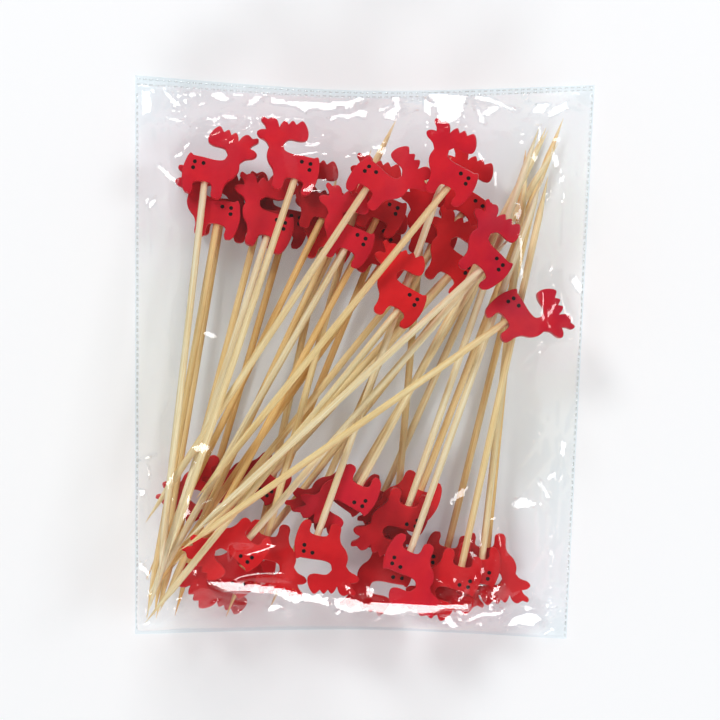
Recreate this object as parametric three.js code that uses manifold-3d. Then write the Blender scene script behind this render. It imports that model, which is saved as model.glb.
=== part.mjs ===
// A retail bag of cocktail picks: bamboo skewers with painted reindeer glued on,
// laid head to tail in a flat clear bag that lies on its back.
// Millimetres, +Z up. X runs across the bag, Y towards its top edge.
// The origin is under the middle of the bag, on the surface that it lies on.
import * as THREE from 'three';
import { mergeVertices } from 'three/addons/utils/BufferGeometryUtils.js';
import Module from 'manifold-3d';

const wasm = await Module();
wasm.setup();

// Bamboo skewer
const STICK_DIAMETER = 2.1;
const STICK_REACH = 104; // from the reindeer's belly to the tip
const TIP_TAPER = 11;
const STICK_SIDES = 8;

// Reindeer cut from thin board, glued on at its belly
const REINDEER_HEIGHT = 18.8; // from the feet to the tips of the antlers
const BOARD_THICKNESS = 3.6;
const SOCKET_DEPTH = 5;
const GLUE_GAP = 0.3; // room round the stick and past its end in the socket
const LEG_ROOM = 1.4; // from the side of the stick to the inner face of each leg

// Film bag
const FILM_THICKNESS = 0.4;
const SEAL_WIDTH = 0.8;
const FOLD_WIDTH = 1.2;
const TOP_SEAL_WIDTH = 3.2;
const FLANGE_WIDTH = 0.6; // flat rim of the front film inside the seals
const WALL_WIDTH = 0.5; // the narrowest room in which the front film can rise to the pile
const FILM_PITCH = 3.9; // spacing of the film's facets
const FILM_PASSES = 400; // rounds of stretching the film over the pile
const STRIP_FACETS = 12; // parts along each flat strip

// Room between the pile of picks and the bag's edges
const LEFT_ROOM = 3;
const RIGHT_ROOM_TOP = 5.6;
const RIGHT_ROOM_MIDDLE = 1.8;
const RIGHT_ROOM_BOTTOM = -1.8;
const TOP_ROOM_LEFT = 11.2;
const TOP_ROOM_MIDDLE = 7.2;
const TOP_ROOM_RIGHT = 8.6;
const BOTTOM_ROOM_LEFT = 3.6;
const BOTTOM_ROOM_MIDDLE = 2.4;
const BOTTOM_ROOM_RIGHT = 4.8;

// Clearance between pieces that rest on each other
const REST_GAP = 0.32;

// The pile's height is kept on a grid of cells
const CELL = 0.5;
const FINE_STEP = CELL / 2;
const COARSE_STEP = CELL;
const LEVELLING_PASSES = 3;

// How far a pick turns (degrees, about its reindeer) and slides sideways to lie lower
const SHOWN_FREEDOM = { turn: 1, turnStep: 0.5, slide: 1.2, slideStep: 0.4 };
const UNDER_FREEDOM = { turn: 12, turnStep: 3, slide: 2, slideStep: 1 };
const TURN_COST = 0.02;
const SLIDE_COST = 0.1;
const REINDEER_MIDDLE = 6; // from the belly up to the point that a pick turns about

// The places of the picks are counted in steps, this many to a skewer's reach
const STEPS_IN_REACH = 208;

// Corners this close together are one corner
const WELD_DISTANCE = 1e-4;

const STICK_COLOUR = 0xe6c48c;
const PAINT_COLOUR = 0xc8141e;
const FILM_COLOUR = 0xe9eef2;

const stickRadius = STICK_DIAMETER / 2;
const socketRadius = stickRadius + GLUE_GAP;
const legFace = stickRadius + LEG_ROOM;

// The reindeer faces -X. The skewer comes up the Y axis and enters the belly at the origin.
const drawnOutline = [
  // belly, front leg and chest
  [-legFace + 0.45, -0.2], [-legFace, -1.2], [-legFace - 0.05, -3.1], [-3.2, -3.8], [-4.6, -3.8],
  [-5.3, -3.0], [-5.5, -0.9], [-6.2, 0.8], [-7.9, 2.4], [-8.8, 4.2], [-8.8, 6.2],
  // muzzle and front antler
  [-10.0, 7.3], [-12.2, 8.0], [-12.9, 8.9], [-12.2, 9.8], [-10.8, 10.3], [-11.4, 11.2],
  [-12.8, 12.3], [-12.6, 13.2], [-11.2, 13.3], [-9.9, 13.8], [-8.7, 13.3], [-7.7, 11.8],
  // rear antler
  [-7.4, 13.0], [-6.7, 13.9], [-5.6, 13.5], [-4.8, 14.4], [-3.6, 14.0], [-2.4, 15.0],
  [-1.2, 14.3], [0.1, 12.2], [0.1, 10.7], [-1.2, 9.9], [-4.4, 9.4],
  // nape, back and tail
  [-5.4, 7.9], [-4.7, 6.5], [-2.9, 6.1], [0.5, 6.4], [3.3, 6.6], [4.2, 7.1], [4.9, 6.1],
  // rump and hind leg
  [5.6, 3.4], [5.6, 0.5], [5.0, -2.2], [4.2, -3.2], [2.9, -3.3], [legFace - 0.05, -2.3],
  [legFace, -0.6], [legFace - 0.8, 0.0],
];
const drawnHeights = drawnOutline.map(([, y]) => y);
const outlineScale = REINDEER_HEIGHT / (Math.max(...drawnHeights) - Math.min(...drawnHeights));
const reindeerOutline = drawnOutline.map(([x, y]) => [x * outlineScale, y * outlineScale]);

// The picks in the order that they are laid, the lowest first. Each is placed by the middle of
// its skewer, counted in steps. lean is the skewer's angle from the bag's long side, cock the
// angle that the reindeer sits off its skewer, shift how far off centre the socket is drilled.
// A shown pick is placed by eye and settles only a little. The others fill in under those.
// A whole pick is one solid. A jointed pick is a skewer and a drilled reindeer.
const wholePicks = [
  { end: 'bottom', faces: 'right', x: -37, y: -5, lean: 12 },
  { end: 'bottom', faces: 'left', x: 67, y: 1, lean: 14 },
  { end: 'bottom', faces: 'left', x: 51, y: 24, lean: 24 },
  { end: 'top', faces: 'left', x: -72, y: -36, lean: 16 },
  { end: 'top', faces: 'left', x: -46, y: -35, lean: 28 },
  { end: 'bottom', faces: 'right', x: -6, y: 16, lean: 38, cock: -2 },
  { end: 'bottom', faces: 'right', x: 46, y: -7, lean: 17 },
  { end: 'bottom', faces: 'right', x: 65, y: 27, lean: 21 },
  { end: 'top', faces: 'left', x: -28, y: -26, lean: 36 },
  { end: 'bottom', faces: 'right', x: 21, y: 14, lean: 42 },
  { end: 'top', faces: 'left', x: -90, y: -34, lean: 9.5 },
  { end: 'top', faces: 'left', x: -86, y: -36, lean: 14.5 },
  { end: 'bottom', faces: 'left', x: 68, y: 4, lean: 4.5, shift: 0.8, shown: true },
  { end: 'bottom', faces: 'right', x: -25, y: -13, lean: 26 },
  { end: 'top', faces: 'left', x: -45, y: -45, lean: 32 },
  { end: 'top', faces: 'left', x: -19, y: -5, lean: 40, shown: true },
  { end: 'top', faces: 'left', x: -66, y: -38, lean: 28, cock: 3 },
  { end: 'top', faces: 'left', x: -66, y: -24, lean: 25, cock: 6, shown: true },
  { end: 'bottom', faces: 'left', x: -25, y: 7, lean: 15, shown: true },
  { end: 'top', faces: 'left', x: -42, y: -22, lean: 28, cock: 1, shift: 0.8, shown: true },
  { end: 'top', faces: 'left', x: -93, y: -35, lean: 9, cock: -2, shown: true },
  { end: 'bottom', faces: 'right', x: 42, y: 24, lean: 30, shown: true },
];
const jointedPicks = [
  { end: 'bottom', faces: 'right', x: 67, y: -2, lean: 5.5, shift: 0.8, shown: true },
  { end: 'bottom', faces: 'right', x: 67, y: -7, lean: 11.5, shown: true },
  { end: 'top', faces: 'left', x: -33, y: -31, lean: 44.5, cock: 4, shown: true },
  { end: 'bottom', faces: 'right', x: 41, y: 27, lean: 27, cock: 4, shown: true },
  { end: 'bottom', faces: 'right', x: 51, y: 22, lean: 18, cock: 8, shown: true },
  { end: 'bottom', faces: 'left', x: 61, y: -5, lean: 20.5, cock: -7, shown: true },
  { end: 'top', faces: 'left', x: -60, y: -37, lean: 28.5, cock: 1.5, shift: 0.8, shown: true },
  { end: 'top', faces: 'left', x: -85, y: -37, lean: 17, cock: -4.5, shift: 0.3, shown: true },
  { end: 'top', faces: 'right', x: -55, y: -2, lean: 33, cock: -3, shown: true },
  { end: 'top', faces: 'right', x: -92, y: -14, lean: 5.5, cock: -2, shift: -0.5, shown: true },
  { end: 'bottom', faces: 'left', x: 12, y: 4, lean: 20, cock: 6, shift: -0.3, shown: true },
  { end: 'top', faces: 'left', x: -69, y: -8, lean: 17.5, cock: 1.5, shown: true },
  { end: 'bottom', faces: 'right', x: 10, y: -19, lean: 42, cock: 2, shift: -0.8, shown: true },
  { end: 'top', faces: 'left', x: -50, y: -57, lean: 38.5, cock: 5, shift: -0.3, shown: true },
  { end: 'top', faces: 'left', x: -26, y: 8, lean: 40, cock: 5, shift: 0.3, shown: true },
  { end: 'top', faces: 'left', x: -15, y: -29, lean: 46.5, cock: -2, shown: true },
  { end: 'top', faces: 'right', x: -14, y: -41, lean: 56, cock: 2.5, shift: -0.8, shown: true },
];
const placeStep = STICK_REACH / STEPS_IN_REACH;
const picks = [...wholePicks, ...jointedPicks]
  .map((pick) => ({ ...pick, x: pick.x * placeStep, y: pick.y * placeStep }));

// Closed solids

function closedSolid(geometry) {
  const bare = geometry.index ? geometry.toNonIndexed() : geometry;
  bare.deleteAttribute('normal');
  bare.deleteAttribute('uv');
  const merged = mergeVertices(bare, WELD_DISTANCE);
  const corners = merged.index.array;
  const kept = [];
  for (let i = 0; i < corners.length; i += 3) {
    const [a, b, c] = [corners[i], corners[i + 1], corners[i + 2]];
    if (a !== b && b !== c && c !== a) {
      kept.push(a, b, c);
    }
  }
  merged.setIndex(kept);
  return merged;
}

function toManifold(geometry) {
  const solid = closedSolid(geometry);
  return new wasm.Manifold(new wasm.Mesh({
    numProp: 3,
    vertProperties: new Float32Array(solid.attributes.position.array),
    triVerts: new Uint32Array(solid.index.array),
  }));
}

function fromManifold(manifold) {
  const mesh = manifold.getMesh();
  const geometry = new THREE.BufferGeometry();
  geometry.setAttribute('position', new THREE.BufferAttribute(mesh.vertProperties, 3));
  geometry.setIndex(new THREE.BufferAttribute(mesh.triVerts, 1));
  return geometry;
}

// One pick, with its skewer along Y and the belly of the reindeer at the origin

function skewerGeometry() {
  const profile = [
    new THREE.Vector2(0, -STICK_REACH),
    new THREE.Vector2(stickRadius, -STICK_REACH + TIP_TAPER),
    new THREE.Vector2(stickRadius, SOCKET_DEPTH),
    new THREE.Vector2(0, SOCKET_DEPTH),
  ];
  return closedSolid(new THREE.LatheGeometry(profile, STICK_SIDES));
}

// Where a point of the outline lies once the reindeer is turned, cocked and shifted on its skewer
function placeOutlinePoint([x, y], { faces, cock = 0, shift = 0 }) {
  const angle = THREE.MathUtils.degToRad(cock);
  const side = faces === 'right' ? -x : x;
  return new THREE.Vector2(
    side * Math.cos(angle) - y * Math.sin(angle) + shift,
    side * Math.sin(angle) + y * Math.cos(angle),
  );
}

function placedOutline(pick) {
  return reindeerOutline.map((point) => placeOutlinePoint(point, pick));
}

function boardManifold(pick) {
  const board = new THREE.ExtrudeGeometry(new THREE.Shape(placedOutline(pick)), {
    depth: BOARD_THICKNESS,
    bevelEnabled: false,
  });
  return toManifold(board.translate(0, 0, -BOARD_THICKNESS / 2));
}

function drilledReindeerGeometry(pick) {
  const depth = SOCKET_DEPTH + GLUE_GAP;
  const drill = new THREE.CylinderGeometry(socketRadius, socketRadius, 2 * depth, STICK_SIDES);
  return fromManifold(boardManifold(pick).subtract(toManifold(drill)));
}

function wholePickGeometry(pick) {
  return fromManifold(boardManifold(pick).add(toManifold(skewerGeometry())));
}

// A pick as samples: how far across and along the skewer, and half the height there

function insideOutline(x, y, outline) {
  let inside = false;
  for (let i = 0, j = outline.length - 1; i < outline.length; j = i, i += 1) {
    const a = outline[i];
    const b = outline[j];
    const crosses = a.y > y !== b.y > y;
    if (crosses && x < ((b.x - a.x) * (y - a.y)) / (b.y - a.y) + a.x) {
      inside = !inside;
    }
  }
  return inside;
}

function skewerSamples(step) {
  const samples = [];
  const acrossSteps = Math.ceil(stickRadius / step);
  for (let along = -STICK_REACH; along <= 0; along += step) {
    const radius = stickRadius * Math.min(1, (along + STICK_REACH + step) / TIP_TAPER);
    for (let i = -acrossSteps; i <= acrossSteps; i += 1) {
      const across = i * step;
      const inner = Math.max(0, Math.abs(across) - step / 2);
      if (inner < radius) {
        samples.push({ across, along, half: Math.sqrt(radius * radius - inner * inner) });
      }
    }
  }
  return samples;
}

function reindeerSamples(pick, step) {
  const samples = [];
  const outline = placedOutline(pick);
  const box = new THREE.Box2().setFromPoints(outline);
  const half = BOARD_THICKNESS / 2;
  for (let along = box.min.y; along <= box.max.y; along += step) {
    for (let across = box.min.x; across <= box.max.x; across += step) {
      if (insideOutline(across, along, outline)) {
        samples.push({ across, along, half });
      }
    }
  }
  outline.forEach((point, i) => {
    const next = outline[(i + 1) % outline.length];
    const pieces = Math.ceil(point.distanceTo(next) / step);
    for (let k = 0; k < pieces; k += 1) {
      const edge = point.clone().lerp(next, k / pieces);
      samples.push({ across: edge.x, along: edge.y, half });
    }
  });
  return samples;
}

function pickSamples(pick, step) {
  return [...skewerSamples(step), ...reindeerSamples(pick, step)];
}

const outlineArea = Math.abs(THREE.ShapeUtils.area(reindeerOutline.map(([x, y]) => ({ x, y }))));
const reindeerVolume = outlineArea * BOARD_THICKNESS;
const skewerVolume = Math.PI * stickRadius * stickRadius * STICK_REACH;
const balance = (reindeerVolume * REINDEER_MIDDLE - (skewerVolume * STICK_REACH) / 2)
  / (reindeerVolume + skewerVolume);

// Directions and places in plan

// The skewer's direction, from its tip to the reindeer
function heading(pick) {
  const lean = THREE.MathUtils.degToRad(pick.lean);
  const sign = pick.end === 'top' ? 1 : -1;
  return new THREE.Vector2(sign * Math.sin(lean), sign * Math.cos(lean));
}

// The belly of the reindeer
function bellyPoint(pick) {
  return new THREE.Vector2(pick.x, pick.y).addScaledVector(heading(pick), STICK_REACH / 2);
}

function planPoint(across, along, belly, direction) {
  return new THREE.Vector2(
    belly.x + direction.x * along + direction.y * across,
    belly.y + direction.y * along - direction.x * across,
  );
}

// The tip and the reindeer's corners
function planCorners(pick) {
  const belly = bellyPoint(pick);
  const direction = heading(pick);
  const corners = placedOutline(pick).map(({ x, y }) => planPoint(x, y, belly, direction));
  return [planPoint(0, -STICK_REACH, belly, direction), ...corners];
}

const pile = new THREE.Box2().setFromPoints(picks.flatMap(planCorners));

// The height of the pile's top in each cell, starting from the back film

const FIELD_MARGIN = 2 * CELL;
const field = {
  x: pile.min.x - FIELD_MARGIN,
  y: pile.min.y - FIELD_MARGIN,
  columns: Math.ceil((pile.max.x - pile.min.x + 2 * FIELD_MARGIN) / CELL),
  rows: Math.ceil((pile.max.y - pile.min.y + 2 * FIELD_MARGIN) / CELL),
};
const pileTop = new Float64Array(field.columns * field.rows).fill(FILM_THICKNESS);

// Calls visit with each cell that a sample at x, y can touch
function visitCells(x, y, visit) {
  const reach = CELL / 4;
  const firstColumn = Math.floor((x - reach - field.x) / CELL);
  const lastColumn = Math.floor((x + reach - field.x) / CELL);
  const firstRow = Math.floor((y - reach - field.y) / CELL);
  const lastRow = Math.floor((y + reach - field.y) / CELL);
  for (let row = firstRow; row <= lastRow; row += 1) {
    for (let column = firstColumn; column <= lastColumn; column += 1) {
      visit(row * field.columns + column);
    }
  }
}

// The lowest straight line over all the needs. It rests on one each side of the balance point.
function restingLine(needs) {
  const hull = [];
  for (const point of needs) {
    while (hull.length > 1) {
      const a = hull[hull.length - 2];
      const b = hull[hull.length - 1];
      const turn = (b.along - a.along) * (point.height - a.height)
        - (b.height - a.height) * (point.along - a.along);
      if (turn < 0) {
        break;
      }
      hull.pop();
    }
    hull.push(point);
  }
  const right = Math.max(1, hull.findIndex((point) => point.along >= balance));
  const [a, b] = [hull[right - 1], hull[right]];
  const slope = (b.height - a.height) / (b.along - a.along);
  return { slope, height: a.height - slope * a.along };
}

// Where a pick comes to rest on the pile, as its height at the belly and its slope
function restOnPile(pick, samples, passes) {
  const belly = bellyPoint(pick);
  const direction = heading(pick);
  let line = { slope: 0, height: 0 };
  for (let pass = 0; pass < passes; pass += 1) {
    const level = Math.cos(Math.atan(line.slope));
    const needs = new Map();
    for (const { across, along, half } of samples) {
      const plan = planPoint(across, along * level, belly, direction);
      let under = 0;
      visitCells(plan.x, plan.y, (cell) => {
        under = Math.max(under, pileTop[cell]);
      });
      const height = under + REST_GAP + half / level;
      const station = Math.round((along * level) / CELL);
      const known = needs.get(station);
      if (!known || known.height < height) {
        needs.set(station, { along: station * CELL, height });
      }
    }
    line = restingLine([...needs.values()].sort((a, b) => a.along - b.along));
  }
  return { belly, ...line };
}

function raisePileTop(pick, samples, { belly, slope, height }) {
  const direction = heading(pick);
  const level = Math.cos(Math.atan(slope));
  for (const { across, along, half } of samples) {
    const plan = planPoint(across, along * level, belly, direction);
    const top = height + slope * along * level + half / level;
    visitCells(plan.x, plan.y, (cell) => {
      pileTop[cell] = Math.max(pileTop[cell], top);
    });
  }
}

// The pick turned about its reindeer and slid sideways
function movedPick(pick, turn, slide) {
  const before = heading(pick);
  const after = heading({ ...pick, lean: pick.lean + turn });
  const arm = STICK_REACH / 2 + REINDEER_MIDDLE;
  return {
    ...pick,
    lean: pick.lean + turn,
    x: pick.x + (before.x - after.x) * arm + after.y * slide,
    y: pick.y + (before.y - after.y) * arm - after.x * slide,
  };
}

function evenSteps(limit, step) {
  const count = Math.round((2 * limit) / step);
  return Array.from({ length: count + 1 }, (_, i) => -limit + i * step);
}

// The way of laying a pick that lies lowest, without leaving the pile's box
function settledPick(pick) {
  const { turn, turnStep, slide, slideStep } = pick.shown ? SHOWN_FREEDOM : UNDER_FREEDOM;
  const samples = pickSamples(pick, COARSE_STEP);
  let best = { cost: Infinity, pick };
  for (const turned of evenSteps(turn, turnStep)) {
    for (const slid of evenSteps(slide, slideStep)) {
      const moved = movedPick(pick, turned, slid);
      if (planCorners(moved).every((corner) => pile.containsPoint(corner))) {
        const { slope, height } = restOnPile(moved, samples, 1);
        const head = height + slope * REINDEER_MIDDLE;
        const tip = height - slope * STICK_REACH;
        const cost = head + tip + Math.max(head, tip)
          + TURN_COST * Math.abs(turned) + SLIDE_COST * Math.abs(slid);
        if (cost < best.cost) {
          best = { cost, pick: moved };
        }
      }
    }
  }
  return best.pick;
}

// Lays a pick and gives the matrix that carries it there
function layPick(pick) {
  const settled = settledPick(pick);
  const samples = pickSamples(settled, FINE_STEP);
  const place = restOnPile(settled, samples, LEVELLING_PASSES);
  raisePileTop(settled, samples, place);
  const direction = heading(settled);
  const turn = Math.atan2(-direction.x, direction.y);
  const rotation = new THREE.Euler(Math.atan(place.slope), 0, turn, 'ZXY');
  return new THREE.Matrix4().makeRotationFromEuler(rotation)
    .setPosition(place.belly.x, place.belly.y, place.height);
}

// The bag: edges in plan, each a smooth line through its corners and middle

function edgeCurve(points) {
  return new THREE.SplineCurve(points.map(([x, y]) => new THREE.Vector2(x, y)));
}

const middleX = (pile.min.x + pile.max.x) / 2;
const middleY = (pile.min.y + pile.max.y) / 2;
const corners = {
  topLeft: [pile.min.x - LEFT_ROOM, pile.max.y + TOP_ROOM_LEFT],
  topRight: [pile.max.x + RIGHT_ROOM_TOP, pile.max.y + TOP_ROOM_RIGHT],
  bottomLeft: [pile.min.x - LEFT_ROOM, pile.min.y - BOTTOM_ROOM_LEFT],
  bottomRight: [pile.max.x + RIGHT_ROOM_BOTTOM, pile.min.y - BOTTOM_ROOM_RIGHT],
};
const leftEdge = edgeCurve([corners.bottomLeft, corners.topLeft]);
const rightEdge = edgeCurve([
  corners.bottomRight, [pile.max.x + RIGHT_ROOM_MIDDLE, middleY], corners.topRight,
]);
const topEdge = edgeCurve([
  corners.topLeft, [middleX, pile.max.y + TOP_ROOM_MIDDLE], corners.topRight,
]);
const bottomEdge = edgeCurve([
  corners.bottomLeft, [middleX, pile.min.y - BOTTOM_ROOM_MIDDLE], corners.bottomRight,
]);

// A point of the bag in plan, from shares across and up it, between its four edges
function bagPoint(u, v) {
  const { bottomLeft: a, bottomRight: b, topLeft: c, topRight: d } = corners;
  const ruledAcross = leftEdge.getPoint(v).multiplyScalar(1 - u)
    .addScaledVector(rightEdge.getPoint(v), u);
  const ruledUp = bottomEdge.getPoint(u).multiplyScalar(1 - v)
    .addScaledVector(topEdge.getPoint(u), v);
  const blend = (k) => (1 - v) * ((1 - u) * a[k] + u * b[k]) + v * ((1 - u) * c[k] + u * d[k]);
  return new THREE.Vector2(
    ruledAcross.x + ruledUp.x - blend(0),
    ruledAcross.y + ruledUp.y - blend(1),
  );
}

const bagWidth = corners.topRight[0] - corners.topLeft[0];
const bagHeight = corners.topLeft[1] - corners.bottomLeft[1];

// A grid of points over the bag, from shares across and up, and a height for each
function gridPoints(across, up, height) {
  return up.map((v, i) => across.map((u, j) => {
    const plan = bagPoint(u, v);
    return new THREE.Vector3(plan.x, plan.y, height(i, j));
  }));
}

// A closed sheet between two grids of points, the lower one and the upper one
function sheetGeometry(lower, upper) {
  const rows = lower.length;
  const columns = lower[0].length;
  const positions = [...lower.flat(), ...upper.flat()].flatMap((p) => [p.x, p.y, p.z]);
  const index = [];
  const low = (i, j) => i * columns + j;
  const high = (i, j) => rows * columns + low(i, j);
  const rim = [];
  for (let i = 0; i < rows - 1; i += 1) {
    for (let j = 0; j < columns - 1; j += 1) {
      index.push(high(i, j), high(i, j + 1), high(i + 1, j + 1));
      index.push(high(i, j), high(i + 1, j + 1), high(i + 1, j));
      index.push(low(i, j), low(i + 1, j + 1), low(i, j + 1));
      index.push(low(i, j), low(i + 1, j), low(i + 1, j + 1));
    }
  }
  for (let j = 0; j < columns - 1; j += 1) {
    rim.push([0, j]);
  }
  for (let i = 0; i < rows - 1; i += 1) {
    rim.push([i, columns - 1]);
  }
  for (let j = columns - 1; j > 0; j -= 1) {
    rim.push([rows - 1, j]);
  }
  for (let i = rows - 1; i > 0; i -= 1) {
    rim.push([i, 0]);
  }
  rim.forEach(([i, j], k) => {
    const [m, n] = rim[(k + 1) % rim.length];
    index.push(low(i, j), low(m, n), high(m, n));
    index.push(low(i, j), high(m, n), high(i, j));
  });
  const geometry = new THREE.BufferGeometry();
  geometry.setAttribute('position', new THREE.Float32BufferAttribute(positions, 3));
  geometry.setIndex(index);
  return geometry;
}

// A flat strip of the bag
function stripGeometry(across, up, thickness) {
  const lower = gridPoints(across, up, () => 0);
  const upper = gridPoints(across, up, () => thickness);
  return sheetGeometry(lower, upper);
}

function evenShares(from, to, count) {
  return Array.from({ length: count + 1 }, (_, i) => from + ((to - from) * i) / count);
}

// Shares along one side of the film: the rim, the flange and the wall, then even facets
function filmStations(length, startInset, endInset) {
  const edge = FLANGE_WIDTH + WALL_WIDTH;
  const start = startInset + edge;
  const end = length - endInset - edge;
  const count = Math.round((end - start) / FILM_PITCH);
  return [
    startInset, startInset + FLANGE_WIDTH,
    ...evenShares(start, end, count),
    length - endInset - FLANGE_WIDTH, length - endInset,
  ].map((distance) => distance / length);
}

// The front film: stretched like a tent over the pile, from the seals up

// The highest thing under the film within a box in plan
function highestUnder(box) {
  const cellRange = (min, max, start, limit) => [
    THREE.MathUtils.clamp(Math.floor((min - start) / CELL), 0, limit - 1),
    THREE.MathUtils.clamp(Math.floor((max - start) / CELL), 0, limit - 1),
  ];
  const [firstColumn, lastColumn] = cellRange(box.min.x, box.max.x, field.x, field.columns);
  const [firstRow, lastRow] = cellRange(box.min.y, box.max.y, field.y, field.rows);
  let highest = FILM_THICKNESS;
  for (let row = firstRow; row <= lastRow; row += 1) {
    for (let column = firstColumn; column <= lastColumn; column += 1) {
      highest = Math.max(highest, pileTop[row * field.columns + column]);
    }
  }
  return highest;
}

// The lowest that each point of the film can be: flat on the flange, clear of the pile inside it
function filmLimits(plan) {
  const rows = plan.length;
  const columns = plan[0].length;
  return plan.map((line, i) => line.map((_, j) => {
    const onFlange = Math.min(i, j, rows - 1 - i, columns - 1 - j) < 2;
    if (onFlange) {
      return FILM_THICKNESS + REST_GAP;
    }
    const around = [plan[i - 1][j - 1], plan[i - 1][j + 1], plan[i + 1][j - 1], plan[i + 1][j + 1]];
    return highestUnder(new THREE.Box2().setFromPoints(around)) + REST_GAP;
  }));
}

// Each free point settles between its neighbours, the nearer ones pulling more
function stretchFilm(plan, limits) {
  const height = limits.map((line) => [...line]);
  const steps = [[-1, 0], [1, 0], [0, -1], [0, 1]];
  for (let pass = 0; pass < FILM_PASSES; pass += 1) {
    for (let i = 2; i < plan.length - 2; i += 1) {
      for (let j = 2; j < plan[i].length - 2; j += 1) {
        let pull = 0;
        let total = 0;
        for (const [di, dj] of steps) {
          const weight = 1 / plan[i][j].distanceTo(plan[i + di][j + dj]);
          pull += weight * height[i + di][j + dj];
          total += weight;
        }
        height[i][j] = Math.max(limits[i][j], pull / total);
      }
    }
  }
  return height;
}

// The way out of the film at a point, long enough to keep its thickness over an edge
function filmOffset(points, i, j) {
  const point = points[i][j];
  const turns = [[0, 1], [1, 0], [0, -1], [-1, 0]];
  const normals = [];
  turns.forEach(([di, dj], k) => {
    const [ei, ej] = turns[(k + 1) % turns.length];
    const a = points[i + di]?.[j + dj];
    const b = points[i + ei]?.[j + ej];
    if (a && b) {
      const toA = new THREE.Vector3().subVectors(a, point);
      const toB = new THREE.Vector3().subVectors(b, point);
      normals.push(toA.cross(toB).normalize());
    }
  });
  const out = normals.reduce((sum, n) => sum.add(n), new THREE.Vector3()).normalize();
  const lift = normals.reduce((sum, n) => sum + n.dot(out), 0) / normals.length;
  return out.multiplyScalar(FILM_THICKNESS / lift);
}

function frontFilmGeometry(acrossStations, upStations) {
  const plan = gridPoints(acrossStations, upStations, () => 0);
  const height = stretchFilm(plan, filmLimits(plan));
  const lower = gridPoints(acrossStations, upStations, (i, j) => height[i][j]);
  const lastRow = lower.length - 1;
  const lastColumn = lower[0].length - 1;
  const upper = lower.map((line, i) => line.map((point, j) => {
    const onRim = i === 0 || j === 0 || i === lastRow || j === lastColumn;
    const offset = onRim ? new THREE.Vector3(0, 0, FILM_THICKNESS) : filmOffset(lower, i, j);
    return point.clone().add(offset);
  }));
  return sheetGeometry(lower, upper);
}

// Assembly

function material(color, roughness, extra = {}) {
  return new THREE.MeshStandardMaterial({ color, roughness, metalness: 0, ...extra });
}

function bambooMaterial() {
  return material(STICK_COLOUR, 0.7);
}

function paintMaterial() {
  return material(PAINT_COLOUR, 0.55);
}

function filmMaterial() {
  return material(FILM_COLOUR, 0.15, { transparent: true, opacity: 0.25 });
}

function namedMesh(name, geometry, surface) {
  const mesh = new THREE.Mesh(geometry, surface);
  mesh.name = name;
  return mesh;
}

const pack = new THREE.Group();

const counts = { top: 0, bottom: 0 };
picks.forEach((pick, i) => {
  counts[pick.end] += 1;
  const number = String(counts[pick.end]).padStart(2, '0');
  const group = new THREE.Group();
  group.applyMatrix4(layPick(pick));
  if (i < wholePicks.length) {
    group.add(namedMesh(`${pick.end}_pick_${number}`, wholePickGeometry(pick), paintMaterial()));
  } else {
    const reindeer = drilledReindeerGeometry(pick);
    group.add(namedMesh(`${pick.end}_skewer_${number}`, skewerGeometry(), bambooMaterial()));
    group.add(namedMesh(`${pick.end}_reindeer_${number}`, reindeer, paintMaterial()));
  }
  pack.add(group);
});

const sideInset = SEAL_WIDTH + REST_GAP;
const acrossStations = filmStations(bagWidth, sideInset, sideInset);
const upStations = filmStations(bagHeight, FOLD_WIDTH + REST_GAP, TOP_SEAL_WIDTH + REST_GAP);
const backAcross = evenShares(acrossStations[0], acrossStations.at(-1), STRIP_FACETS);
const backUp = evenShares(upStations[0], upStations.at(-1), STRIP_FACETS);
pack.add(namedMesh('back_film', stripGeometry(backAcross, backUp, FILM_THICKNESS), filmMaterial()));
pack.add(namedMesh('front_film', frontFilmGeometry(acrossStations, upStations), filmMaterial()));

const sealHeight = 2 * FILM_THICKNESS + REST_GAP;
const sealShares = evenShares(0, 1, STRIP_FACETS);
const sideShare = SEAL_WIDTH / bagWidth;
const seam = [
  stripGeometry([0, sideShare], sealShares, sealHeight),
  stripGeometry([1 - sideShare, 1], sealShares, sealHeight),
  stripGeometry(sealShares, [0, FOLD_WIDTH / bagHeight], sealHeight),
].map(toManifold).reduce((joined, strip) => joined.add(strip));
const topSeal = stripGeometry(backAcross, [1 - TOP_SEAL_WIDTH / bagHeight, 1], sealHeight);
pack.add(namedMesh('side_and_bottom_seam', fromManifold(seam), filmMaterial()));
pack.add(namedMesh('top_seal', topSeal, filmMaterial()));

// The bag's box stands centred over the origin
const wholeBox = new THREE.Box3().setFromObject(pack, true);
const centre = wholeBox.getCenter(new THREE.Vector3());
pack.position.set(-centre.x, -centre.y, -wholeBox.min.z);

const model = new THREE.Group();
model.add(pack);
export default model;
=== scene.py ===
# %% [markdown]
# # A bag of reindeer cocktail picks
#
# The object is a small retail pack, as it lies on a shop's table: thirty-nine bamboo picks, each
# with a reindeer cut from thin red board glued to its blunt end, in a flat bag of clear film.
# The picks lie head to tail, one group with its reindeer at the top of the bag and the other
# with its reindeer at the bottom. The bag is sealed along both sides and the top.
#
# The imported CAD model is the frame: it says where every pick and every edge of the bag is.
# This lesson dresses it. Everything is in metres, with the bag on its back and +Z up.

import math

import bmesh
import bpy
import numpy as np
from mathutils import Matrix, Vector
from mathutils.bvhtree import BVHTree


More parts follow.
